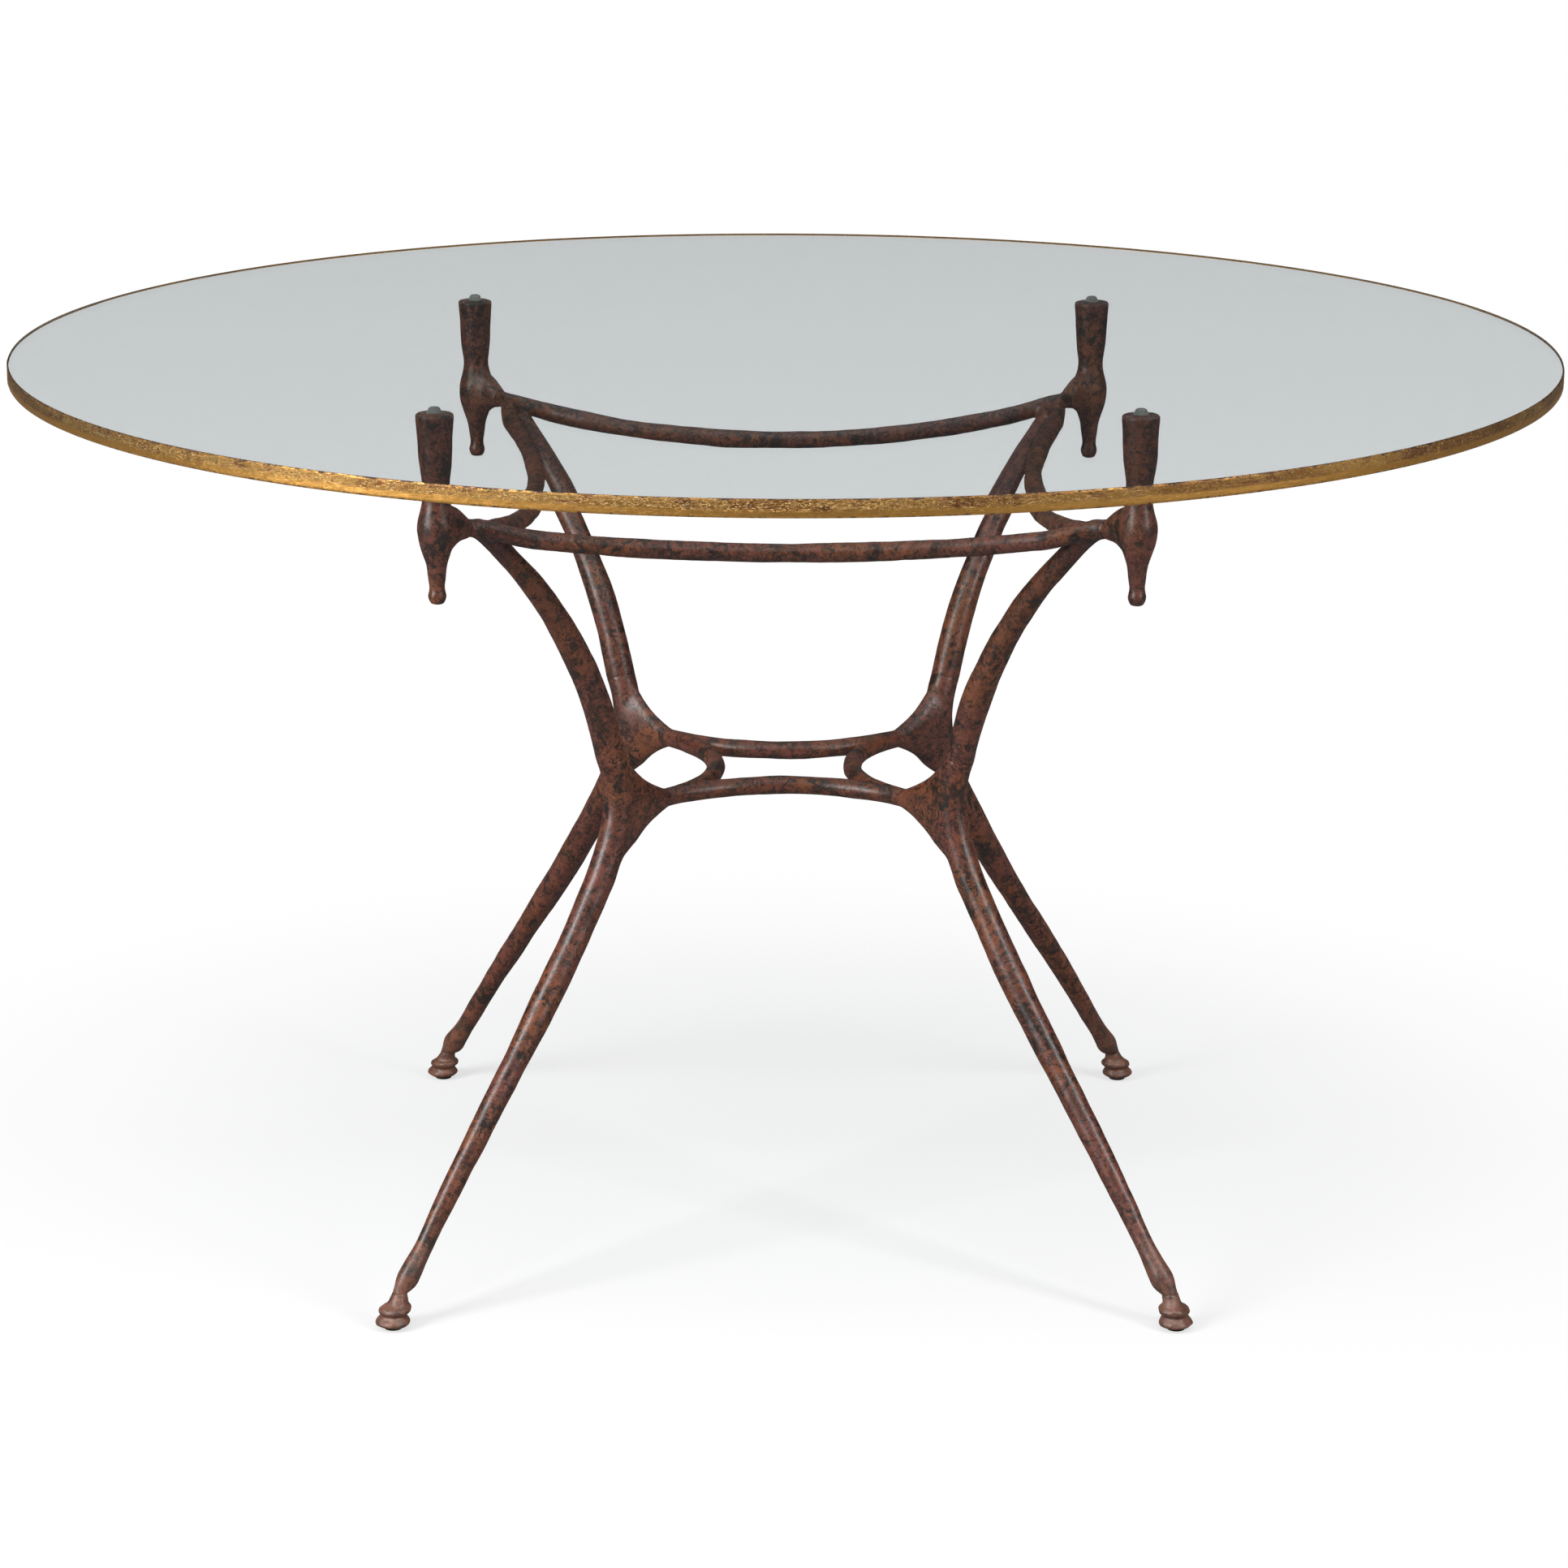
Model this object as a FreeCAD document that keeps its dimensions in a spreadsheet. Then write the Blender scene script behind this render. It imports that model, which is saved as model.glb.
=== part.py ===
# Centre table: a round glass top with a gilded edge, on a cast metal base of four bowed limbs.
# Frame: +Z up, origin on the floor under the middle of the top, front towards -Y, in millimetres.
# A corner is built in a frame of its own: +X runs outwards along the table's diagonal, +Z up.

import FreeCAD
import Part
import Sketcher
import math
import os
import re

from FreeCAD import Placement, Rotation, Vector

# Driving sizes, each in one cell of the sheet under its own name
SIZES = {
    # Glass top and its gilded edge
    "table_height": 760.0,
    "top_diameter": 1300.0,
    "glass_thickness": 14.0,
    "band_thickness": 1.0,
    "band_rounding": 0.4,
    # Clear bumpers between the posts and the glass
    "bumper_height": 5.0,
    "bumper_diameter": 13.2,
    "flange_height": 1.2,
    "dome_diameter": 10.4,
    "dome_rounding": 2.6,
    "bumper_stem_diameter": 4.0,
    "bumper_stem_length": 9.0,
    # Posts with their drop finials, on the diagonals
    "post_radius": 393.7,
    "post_length": 142.3,
    "post_top_diameter": 31.0,
    "post_rounding": 1.6,
    "finial_rounding": 2.2,
    # Neck between a post and its limb: how far in from the post's axis and below its top
    "neck_reach": 32.7,
    "neck_drop": 85.5,
    "neck_diameter": 15.2,
    "flare_height": 54.0,
    "flare_width": 20.0,
    # Limb: an arm above the waist seam and a leg below it
    "waist_radius": 197.5,
    "waist_height": 391.0,
    "waist_diameter": 25.2,
    "foot_radius": 454.0,
    "ankle_height": 28.0,
    # Upper rails, each an arc that bows inwards and sags, and how far its ends lie from the
    # necks: along the rail, towards the table's middle, and down
    "rail_diameter": 15.4,
    "rail_bow_radius": 620.0,
    "root_length": 50.3,
    "root_set_back": 12.4,
    "root_drop": 12.0,
    # Waist stretchers, four arcs back to back, and the webs that carry them
    "stretcher_middle_radius": 59.0,
    "stretcher_diameter": 15.4,
    "web_height": 88.0,
    "web_width": 23.0,
    # Feet and glides
    "foot_diameter": 27.5,
    "glide_diameter": 15.0,
    "glide_height": 2.0,
    "glide_rounding": 0.6,
    "glide_stem_diameter": 5.0,
    "glide_stem_length": 9.0,
    # Spigots that hold the castings in line, and the play in their bores
    "neck_spigot_diameter": 8.0,
    "neck_spigot_length": 16.0,
    "waist_spigot_diameter": 14.0,
    "waist_spigot_length": 24.0,
    "rail_spigot_diameter": 8.0,
    "rail_spigot_length": 12.0,
    "ankle_spigot_diameter": 7.0,
    "ankle_spigot_length": 12.0,
    "bore_clearance": 0.1,
    "bore_end_gap": 0.5,
}

# Post: share of the length down from its top, and share of the top's diameter
POST_SHARES = [
    (0.0, 1.0),
    (0.176, 0.895),
    (0.344, 0.762),
    (0.415, 0.725),
    (0.482, 0.848),
    (0.551, 0.985),
    (0.630, 0.935),
    (0.703, 0.755),
    (0.773, 0.545),
    (0.836, 0.460),
    (0.896, 0.390),
    (0.945, 0.465),
    (0.977, 0.425),
    (1.0, 0.32),
]

# Neck flare: share of the way from the neck seam to the post's axis, shares of the way from the
# neck's diameter to the flare's width and height, and the lift as a share of the flare's height
FLARE_SHARES = [
    (0.0, 0.0, 0.0, 0.0),
    (0.15, 0.10, 0.15, 0.036),
    (0.33, 0.21, 0.31, 0.068),
    (0.52, 0.46, 0.50, 0.065),
    (0.70, 0.82, 0.72, 0.046),
    (0.88, 1.0, 1.0, 0.019),
]

# Arm, upwards from the waist seam: shares of the way from the waist to the neck in radius and
# in height, and share of the waist's diameter
ARM_SHARES = [
    (0.046, 0.175, 0.990),
    (0.073, 0.231, 0.980),
    (0.131, 0.338, 0.973),
    (0.205, 0.444, 0.950),
    (0.299, 0.550, 0.896),
    (0.427, 0.672, 0.830),
    (0.627, 0.820, 0.742),
    (0.725, 0.880, 0.708),
    (0.816, 0.936, 0.670),
    (0.902, 0.979, 0.600),
]

# Leg, upwards from the ankle: shares of the way from the waist to the ankle in radius and in
# height, and share of the waist's diameter
LEG_SHARES = [
    (1.000, 1.000, 0.556),
    (0.982, 0.985, 0.580),
    (0.955, 0.967, 0.710),
    (0.922, 0.943, 0.650),
    (0.883, 0.912, 0.590),
    (0.778, 0.818, 0.660),
    (0.617, 0.672, 0.760),
    (0.460, 0.531, 0.850),
    (0.315, 0.398, 0.945),
    (0.180, 0.260, 0.975),
    (0.082, 0.153, 0.985),
    (0.033, 0.083, 1.000),
    (0.000, 0.000, 1.000),
]

# Web from the stretchers out to the leg: share of the way to the waist's axis, and shares of
# the way from the stretcher's diameter to the web's width and height
WEB_SHARES = [
    (0.0, 0.0, 0.0),
    (0.14, 0.06, 0.09),
    (0.32, 0.16, 0.23),
    (0.50, 0.30, 0.41),
    (0.68, 0.50, 0.66),
    (0.86, 0.78, 0.92),
    (1.04, 1.0, 1.0),
]

# Foot, upwards from the glide to the ankle: share of the height and of the foot's diameter
FOOT_SHARES = [
    (0.0, 0.62),
    (0.08, 0.88),
    (0.17, 1.0),
    (0.28, 0.96),
    (0.385, 0.855),
    (0.47, 0.95),
    (0.56, 1.0),
    (0.68, 0.83),
    (0.83, 0.61),
    (1.0, 0.511),
]

# Root of a rail on the arm's casting: share of the way from the rail's joint to the neck, and
# share of the rail's diameter
ROOT_SHARES = [(0.0, 1.0), (0.35, 0.97), (0.70, 0.92), (0.97, 0.84)]

# Places worked out from the sizes, as expressions
POST_TOP = "(table_height - glass_thickness - bumper_height)"
NECK_RADIUS = "(post_radius - neck_reach)"
NECK_HEIGHT = f"({POST_TOP} - neck_drop)"
RAIL_HALF_SPAN = f"({NECK_RADIUS} / sqrt(2) - root_length)"
RAIL_END_RADIUS = f"({NECK_RADIUS} / sqrt(2) - root_set_back)"
RAIL_END_HEIGHT = f"({NECK_HEIGHT} - root_drop)"
STRETCHER_BOW_RADIUS = "(stretcher_middle_radius / (sqrt(2) - 1))"

RAIL_BOW_ANGLE = 29.3
LOFT_DEGREE = 2
QUARTER_TURN = 90.0
HALF_QUARTER = 45.0
CORNERS = {"front_left": 225.0, "front_right": 315.0, "back_right": 45.0, "back_left": 135.0}
SIDES = {"front": 0.0, "right": 90.0, "back": 180.0, "left": 270.0}
UP = Vector(0, 0, 1)
OUT = Vector(1, 0, 0)
SIDEWAYS = Vector(0, 1, 0)
ORIGIN = Vector(0, 0, 0)

doc = FreeCAD.newDocument("CentreTable")
sheet = doc.addObject("Spreadsheet::Sheet", "Sizes")
for row, (alias, value) in enumerate(SIZES.items(), start=1):
    sheet.set(f"A{row}", alias)
    sheet.set(f"B{row}", str(value))
    sheet.setAlias(f"B{row}", alias)
doc.recompute()
nodes = []


def size(alias):
    """Value in the sheet under this name."""
    return float(sheet.get(alias))


def cells(expression):
    """Put the sheet's name before each size that an expression names."""
    return re.sub(r"[a-z_]+", lambda m: f"Sizes.{m[0]}" if m[0] in SIZES else m[0], expression)


def worked_out(expression):
    """Number that an expression in named sizes gives."""
    return float(sheet.evalExpression(cells(expression)))


def bind(item, **expressions):
    """Bind properties to expressions in named sizes, with __ for a dot in a property's path."""
    for prop, expression in expressions.items():
        item.setExpression(prop.replace("__", "."), cells(expression))


def between(first, last, share):
    """Expression for a size this share of the way from the first to the last."""
    return f"({first} + {share} * ({last} - {first}))"


def circle(name, diameter, x, z, rotation):
    """Round section, with its diameter and its centre bound to the sheet."""
    section = doc.addObject("Part::Circle", name)
    section.Placement = Placement(ORIGIN, rotation)
    bind(section, Radius=f"({diameter}) / 2", Placement__Base__x=x, Placement__Base__z=z)
    return section


def ellipse(name, width, height, x, z):
    """Upright section across the diagonal, with its sizes and its centre bound to the sheet."""
    section = doc.addObject("Part::Ellipse", name)
    section.Placement = Placement(ORIGIN, Rotation(SIDEWAYS, -QUARTER_TURN))
    bind(section, MajorRadius=f"({height}) / 2", MinorRadius=f"({width}) / 2")
    bind(section, Placement__Base__x=x, Placement__Base__z=z)
    return section


def loft(name, sections):
    """Smooth solid through closed sections."""
    solid = doc.addObject("Part::Loft", name)
    solid.Sections = sections
    solid.Solid = True
    solid.MaxDegree = LOFT_DEGREE
    return solid


def fuse(name, pieces):
    joined = doc.addObject("Part::MultiFuse", name)
    joined.Shapes = pieces
    return joined


def cut(name, base, tools):
    """The base with the space of each tool taken out."""
    for number, tool in enumerate(tools, start=1):
        result = doc.addObject("Part::Cut", f"{name}_cut_{number}")
        result.Base = base
        result.Tool = tool
        base = result
    return base


def cylinder(name, diameter, length, at, direction):
    """Cylinder from a point along a direction, its sizes bound to the sheet."""
    rod = doc.addObject("Part::Cylinder", name)
    rod.Placement = Placement(at, Rotation(UP, direction))
    bind(rod, Radius=f"({diameter}) / 2", Height=length)
    return rod


def spigot(name, kind, at, direction):
    """Rod that stands on a face and goes into the bore of the next piece."""
    return cylinder(name, f"{kind}_diameter", f"{kind}_length", at, direction)


def bore(name, kind, at, direction):
    """Hole for a spigot or stem, with play round it and past its end."""
    diameter = f"{kind}_diameter + 2 * bore_clearance"
    return cylinder(name, diameter, f"{kind}_length + bore_end_gap", at, direction)


def rounded(name, base, rounds):
    """The base with its level round edges at the given heights filleted."""
    doc.recompute()
    edges = []
    for height, radius in rounds:
        for index, edge in enumerate(base.Shape.Edges, start=1):
            box = edge.BoundBox
            if max(abs(box.ZMax - height), abs(box.ZMin - height)) < radius / 100:
                edges.append((index, radius, radius))
    result = doc.addObject("Part::Fillet", name)
    result.Base = base
    result.Edges = edges
    return result


def finish(piece, label, angle):
    """Name a finished sub-part and turn it to its place about the table's axis."""
    piece.Label = label
    piece.Placement = Placement(ORIGIN, Rotation(UP, angle))
    nodes.append(piece)


def path_directions(points, first, last):
    """Direction of a path at each of its points, with its two end directions given."""
    directions = [first]
    for before, here, after in zip(points, points[1:], points[2:]):
        back = here - before
        ahead = after - here
        mixed = back * (ahead.Length / back.Length) + ahead * (back.Length / ahead.Length)
        directions.append(mixed.normalize())
    directions.append(last)
    return directions


def limb_stations():
    """Sections of a limb from the ankle up to the neck, as (x, z, diameter, direction)."""
    rows = []
    for radius_share, height_share, share in LEG_SHARES:
        x = between("waist_radius", "foot_radius", radius_share)
        z = between("waist_height", "ankle_height", height_share)
        rows.append((x, z, f"{share} * waist_diameter"))
    for radius_share, height_share, share in ARM_SHARES:
        x = between("waist_radius", NECK_RADIUS, radius_share)
        z = between("waist_height", NECK_HEIGHT, height_share)
        rows.append((x, z, f"{share} * waist_diameter"))
    rows.append((NECK_RADIUS, NECK_HEIGHT, "neck_diameter"))
    points = [Vector(worked_out(x), 0, worked_out(z)) for x, z, _ in rows]
    directions = path_directions(points, UP, OUT)
    return [(*row, direction) for row, direction in zip(rows, directions)]


def limb_loft(name, stations):
    sections = []
    for number, (x, z, diameter, direction) in enumerate(stations):
        tilt = math.degrees(math.atan2(direction.x, direction.z))
        sections.append(circle(f"{name}_{number}", diameter, x, z, Rotation(SIDEWAYS, tilt)))
    return loft(name, sections)


def station_point(station):
    return Vector(worked_out(station[0]), 0, worked_out(station[1]))


def rail_end():
    """Right end of a rail's axis and its direction there, with the rail on the table's back."""
    span = worked_out(RAIL_HALF_SPAN)
    angle = math.radians(RAIL_BOW_ANGLE)
    slope = span / math.sqrt(size("rail_bow_radius") ** 2 - span**2)
    direction = Vector(1, slope * math.cos(angle), slope * math.sin(angle))
    point = Vector(span, worked_out(RAIL_END_RADIUS), worked_out(RAIL_END_HEIGHT))
    return point, direction.normalize()


def to_corner(vector, hand):
    """A rail end's point or direction in the corner's frame, on one side of the diagonal."""
    along = Rotation(UP, -HALF_QUARTER).multVec(vector)
    return Vector(along.x, hand * along.y, along.z)


def root_station(hand, share):
    """Point and direction on the smooth curve from a rail's joint into the neck."""
    point, direction = rail_end()
    start = to_corner(point, hand)
    goal = Vector(worked_out(NECK_RADIUS), 0, worked_out(NECK_HEIGHT))
    reach = (goal - start).Length
    leave = to_corner(direction, hand) * reach
    arrive = OUT * reach
    s = share
    place = start * (2 * s**3 - 3 * s**2 + 1) + leave * (s**3 - 2 * s**2 + s)
    place = place + goal * (3 * s**2 - 2 * s**3) + arrive * (s**3 - s**2)
    heading = (start - goal) * (6 * s**2 - 6 * s) + leave * (3 * s**2 - 4 * s + 1)
    heading = heading + arrive * (3 * s**2 - 2 * s)
    return place, heading.normalize()


def build_post(corner, angle):
    """Post with its drop finial, flared out at the neck towards the limb."""
    rings = []
    for number, (down, share) in enumerate(POST_SHARES):
        z = f"{POST_TOP} - {down} * post_length"
        diameter = f"{share} * post_top_diameter"
        rings.append(circle(f"{corner}_post_{number}", diameter, "post_radius", z, Rotation()))
    shaft = loft(f"{corner}_post_shaft", rings)
    top = worked_out(POST_TOP)
    rounds = [(top, size("post_rounding")), (top - size("post_length"), size("finial_rounding"))]
    shaft = rounded(f"{corner}_post_rounded", shaft, rounds)
    flares = []
    for number, (along, wide, high, lift) in enumerate(FLARE_SHARES):
        x = between(NECK_RADIUS, "post_radius", along)
        z = f"{NECK_HEIGHT} + {lift} * flare_height"
        width = between("neck_diameter", "flare_width", wide)
        height = between("neck_diameter", "flare_height", high)
        flares.append(ellipse(f"{corner}_flare_{number}", width, height, x, z))
    neck = loft(f"{corner}_neck_flare", flares)
    whole = fuse(f"{corner}_post_solid", [shaft, neck])
    neck_at = Vector(worked_out(NECK_RADIUS), 0, worked_out(NECK_HEIGHT))
    top_at = Vector(size("post_radius"), 0, top)
    holes = [
        bore(f"{corner}_neck_bore", "neck_spigot", neck_at, OUT),
        bore(f"{corner}_bumper_bore", "bumper_stem", top_at, -UP),
    ]
    finish(cut(f"{corner}_post", whole, holes), f"{corner}_post", angle)


def build_bumper(corner, angle):
    """Clear bumper: a dome with a flat crown, on a flange with a stem down into the post."""
    crown = worked_out("table_height - glass_thickness")
    base = Vector(size("post_radius"), 0, worked_out(POST_TOP))
    dome = cylinder(f"{corner}_dome", "dome_diameter", "bumper_height", base, UP)
    dome = rounded(f"{corner}_dome_rounded", dome, [(crown, size("dome_rounding"))])
    flange = cylinder(f"{corner}_flange", "bumper_diameter", "flange_height", base, UP)
    stem = spigot(f"{corner}_bumper_stem", "bumper_stem", base, -UP)
    finish(fuse(f"{corner}_bumper_solid", [dome, flange, stem]), f"{corner}_bumper", angle)


def build_root(name, hand):
    """Root of a rail, cast on the arm, from the rail's joint into the neck."""
    sections = []
    for number, (share, thickness) in enumerate(ROOT_SHARES):
        place, heading = root_station(hand, share)
        ring = doc.addObject("Part::Circle", f"{name}_{number}")
        ring.Placement = Placement(place, Rotation(UP, heading))
        bind(ring, Radius=f"{thickness} * rail_diameter / 2")
        sections.append(ring)
    return loft(name, sections)


def build_arm(corner, angle, stations):
    """Arm from the waist seam to the neck seam, with the roots of two rails."""
    shaft = limb_loft(f"{corner}_arm_shaft", stations)
    seam = stations[0]
    seam_at = station_point(seam)
    neck_at = station_point(stations[-1])
    pieces = [
        shaft,
        build_root(f"{corner}_root_right", -1),
        build_root(f"{corner}_root_left", 1),
        spigot(f"{corner}_neck_spigot", "neck_spigot", neck_at, OUT),
        spigot(f"{corner}_waist_spigot", "waist_spigot", seam_at, -seam[3]),
    ]
    whole = fuse(f"{corner}_arm_solid", pieces)
    holes = []
    for hand in (-1, 1):
        place, heading = root_station(hand, 0.0)
        holes.append(bore(f"{corner}_rail_bore_{hand + 1}", "rail_spigot", place, heading))
    finish(cut(f"{corner}_arm", whole, holes), f"{corner}_arm", angle)


def build_leg(corner, angle, stations):
    """Leg from the waist seam down to the ankle, with the web that the stretchers meet."""
    shaft = limb_loft(f"{corner}_leg_shaft", stations)
    seam = stations[-1]
    webs = []
    for number, (out, wide, high) in enumerate(WEB_SHARES):
        x = between(STRETCHER_BOW_RADIUS, "waist_radius", out)
        width = between("stretcher_diameter", "web_width", wide)
        height = between("stretcher_diameter", "web_height", high)
        webs.append(ellipse(f"{corner}_web_{number}", width, height, x, "waist_height"))
    web = loft(f"{corner}_web", webs)
    ankle = spigot(f"{corner}_ankle_spigot", "ankle_spigot", station_point(stations[0]), -UP)
    whole = fuse(f"{corner}_leg_solid", [shaft, web, ankle])
    hole = bore(f"{corner}_waist_bore", "waist_spigot", station_point(seam), -seam[3])
    finish(cut(f"{corner}_leg", whole, [hole]), f"{corner}_leg", angle)


def build_foot(corner, angle):
    """Foot with two rims, bored from above for the leg and from below for the glide."""
    rings = []
    for number, (up, share) in enumerate(FOOT_SHARES):
        z = between("glide_height", "ankle_height", up)
        diameter = f"{share} * foot_diameter"
        rings.append(circle(f"{corner}_foot_{number}", diameter, "foot_radius", z, Rotation()))
    turned = loft(f"{corner}_foot_turned", rings)
    ankle_at = Vector(size("foot_radius"), 0, size("ankle_height"))
    glide_at = Vector(size("foot_radius"), 0, size("glide_height"))
    holes = [
        bore(f"{corner}_ankle_bore", "ankle_spigot", ankle_at, -UP),
        bore(f"{corner}_glide_bore", "glide_stem", glide_at, UP),
    ]
    finish(cut(f"{corner}_foot", turned, holes), f"{corner}_foot", angle)


def build_glide(corner, angle):
    """Black glide under the foot: a flat pad with a stem."""
    floor_at = Vector(size("foot_radius"), 0, 0)
    pad = cylinder(f"{corner}_glide_pad", "glide_diameter", "glide_height", floor_at, UP)
    pad = rounded(f"{corner}_glide_rounded", pad, [(0.0, size("glide_rounding"))])
    stem_at = floor_at + UP * size("glide_height")
    stem = spigot(f"{corner}_glide_stem", "glide_stem", stem_at, UP)
    finish(fuse(f"{corner}_glide_solid", [pad, stem]), f"{corner}_glide", angle)


def new_sketch(body, name, role):
    """Sketch on one of the body's own origin planes."""
    plane = next(f for f in body.Origin.OriginFeatures if f.Role == role)
    sketch = body.newObject("Sketcher::SketchObject", name)
    sketch.AttachmentSupport = [(plane, "")]
    sketch.MapMode = "FlatFace"
    return sketch


def add_circle(sketch, diameter, x=None):
    """Circle on the sketch's horizontal axis, at its origin if x isn't given."""
    centre = Vector(worked_out(x) if x else 0, 0, 0)
    breadth = worked_out(diameter)
    ring = sketch.addGeometry(Part.Circle(centre, UP, breadth / 2))
    if x:
        sketch.addConstraint(Sketcher.Constraint("PointOnObject", ring, 3, -1))
        place = sketch.addConstraint(Sketcher.Constraint("DistanceX", -1, 1, ring, 3, centre.x))
        sketch.setExpression(f"Constraints[{place}]", cells(x))
    else:
        sketch.addConstraint(Sketcher.Constraint("Coincident", ring, 3, -1, 1))
    width = sketch.addConstraint(Sketcher.Constraint("Diameter", ring, breadth))
    sketch.setExpression(f"Constraints[{width}]", cells(diameter))


def build_arc_bar(name, diameter, bow_radius, centre_y, centre_z, tilt, turn):
    """Round bar along an arc centred outside the table's front, through its middle plane."""
    body = doc.addObject("PartDesign::Body", name)
    sketch = new_sketch(body, f"{name}_section", "YZ_Plane")
    sketch.AttachmentOffset = Placement(ORIGIN, Rotation(UP, tilt))
    bind(sketch, AttachmentOffset__Base__x=centre_y, AttachmentOffset__Base__y=centre_z)
    add_circle(sketch, diameter, bow_radius)
    sweep = body.newObject("PartDesign::Revolution", f"{name}_sweep")
    sweep.Profile = sketch
    sweep.ReferenceAxis = (sketch, ["V_Axis"])
    sweep.Midplane = True
    bind(sweep, Angle=turn)
    return body


def build_rail(side, angle):
    """Upper rail between two arms, bowed inwards and sagging, with a spigot at each end."""
    name = f"{side}_rail"
    reach = f"sqrt(rail_bow_radius ^ 2 - {RAIL_HALF_SPAN} ^ 2)"
    bar = build_arc_bar(
        f"{name}_bar",
        "rail_diameter",
        "rail_bow_radius",
        f"-{RAIL_END_RADIUS} - {reach} * cos({RAIL_BOW_ANGLE} deg)",
        f"{RAIL_END_HEIGHT} + {reach} * sin({RAIL_BOW_ANGLE} deg)",
        -RAIL_BOW_ANGLE,
        f"2 * asin({RAIL_HALF_SPAN} / rail_bow_radius)",
    )
    point, direction = rail_end()
    pieces = [bar]
    for hand in (-1, 1):
        at = Vector(hand * point.x, -point.y, point.z)
        along = Vector(hand * direction.x, -direction.y, direction.z)
        pieces.append(spigot(f"{name}_spigot_{hand + 1}", "rail_spigot", at, along))
    finish(fuse(f"{name}_solid", pieces), name, angle)


def build_stretcher(side, angle):
    """Waist stretcher: a quarter arc, mitred at both ends against its neighbours."""
    name = f"{side}_stretcher"
    bar = build_arc_bar(
        f"{name}_bar",
        "stretcher_diameter",
        STRETCHER_BOW_RADIUS,
        f"-stretcher_middle_radius - {STRETCHER_BOW_RADIUS}",
        "waist_height",
        0.0,
        f"{QUARTER_TURN} deg",
    )
    sector = doc.addObject("Part::Box", f"{name}_sector")
    sector.Placement = Placement(ORIGIN, Rotation(UP, -QUARTER_TURN - HALF_QUARTER))
    reach = f"{STRETCHER_BOW_RADIUS} + stretcher_diameter"
    bind(sector, Length=reach, Width=reach, Height="2 * stretcher_diameter")
    bind(sector, Placement__Base__z="waist_height - stretcher_diameter")
    mitred = doc.addObject("Part::Common", f"{name}_mitred")
    mitred.Base = bar
    mitred.Tool = sector
    finish(mitred, name, angle)


def pad_circles(name, diameters):
    """Upright pad of the glass's thickness, at the level of the glass."""
    body = doc.addObject("PartDesign::Body", name)
    sketch = new_sketch(body, f"{name}_outline", "XY_Plane")
    bind(sketch, AttachmentOffset__Base__z="table_height - glass_thickness")
    for diameter in diameters:
        add_circle(sketch, diameter)
    pad = body.newObject("PartDesign::Pad", f"{name}_pad")
    pad.Profile = sketch
    bind(pad, Length="glass_thickness")
    return body, pad


def build_top():
    """Glass disc, and the thin gilded band that is bonded round its edge."""
    glass_diameter = "top_diameter - 2 * band_thickness"
    glass, _ = pad_circles("glass_top", [glass_diameter])
    nodes.append(glass)
    band, pad = pad_circles("gilded_edge", ["top_diameter", glass_diameter])
    doc.recompute()
    outer = []
    for index, edge in enumerate(pad.Shape.Edges, start=1):
        level = edge.BoundBox.ZLength < size("band_rounding")
        if level and edge.BoundBox.XLength > size("top_diameter") - size("band_thickness"):
            outer.append(f"Edge{index}")
    soften = band.newObject("PartDesign::Fillet", "gilded_edge_rounding")
    soften.Base = (pad, outer)
    bind(soften, Radius="band_rounding")
    nodes.append(band)


def check_and_export():
    """Stop at anything that failed to build, then write each sub-part to its file."""
    doc.recompute()
    for item in doc.Objects:
        if "Invalid" in item.State or "Error" in item.State:
            raise RuntimeError(f"{item.Label} failed: {item.State}")
    for node in nodes:
        if node.Shape.isNull() or not node.Shape.isValid():
            raise RuntimeError(f"{node.Label} has no valid shape")
    os.makedirs("parts", exist_ok=True)
    for node in nodes:
        node.Shape.exportStep(os.path.join("parts", f"{node.Label}.step"))
        print(f"{node.Label}: {len(node.Shape.Solids)} solid, {node.Shape.Volume:.0f} mm3")


limb = limb_stations()
waist_seam = len(LEG_SHARES)
for corner_name, corner_angle in CORNERS.items():
    build_post(corner_name, corner_angle)
    build_bumper(corner_name, corner_angle)
    build_arm(corner_name, corner_angle, limb[waist_seam:])
    build_leg(corner_name, corner_angle, limb[: waist_seam + 1])
    build_foot(corner_name, corner_angle)
    build_glide(corner_name, corner_angle)
for side_name, side_angle in SIDES.items():
    build_rail(side_name, side_angle)
    build_stretcher(side_name, side_angle)
build_top()
check_and_export()
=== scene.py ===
"""Looks of a round glass-top centre table: a cast, patinated base under a clear disc with a gilded edge.

Row frame, in metres: +Z up, origin on the floor under the middle of the top, front towards -Y.
"""

import math

import bmesh
import bpy
import numpy as np
from mathutils import Matrix, Vector, noise


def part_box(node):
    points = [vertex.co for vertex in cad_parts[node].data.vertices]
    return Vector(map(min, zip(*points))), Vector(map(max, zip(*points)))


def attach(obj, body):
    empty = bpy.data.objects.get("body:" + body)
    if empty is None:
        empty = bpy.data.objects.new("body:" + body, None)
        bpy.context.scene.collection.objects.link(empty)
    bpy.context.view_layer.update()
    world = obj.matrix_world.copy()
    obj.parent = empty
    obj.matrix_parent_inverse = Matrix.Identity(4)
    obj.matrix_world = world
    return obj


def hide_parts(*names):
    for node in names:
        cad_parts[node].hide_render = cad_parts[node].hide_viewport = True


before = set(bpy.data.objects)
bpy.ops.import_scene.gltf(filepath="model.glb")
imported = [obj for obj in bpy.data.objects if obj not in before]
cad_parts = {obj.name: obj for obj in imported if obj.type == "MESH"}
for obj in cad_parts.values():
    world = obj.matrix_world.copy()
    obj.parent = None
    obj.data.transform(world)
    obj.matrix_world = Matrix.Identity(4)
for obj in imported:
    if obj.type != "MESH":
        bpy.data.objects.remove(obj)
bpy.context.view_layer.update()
scene = bpy.context.scene

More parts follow.
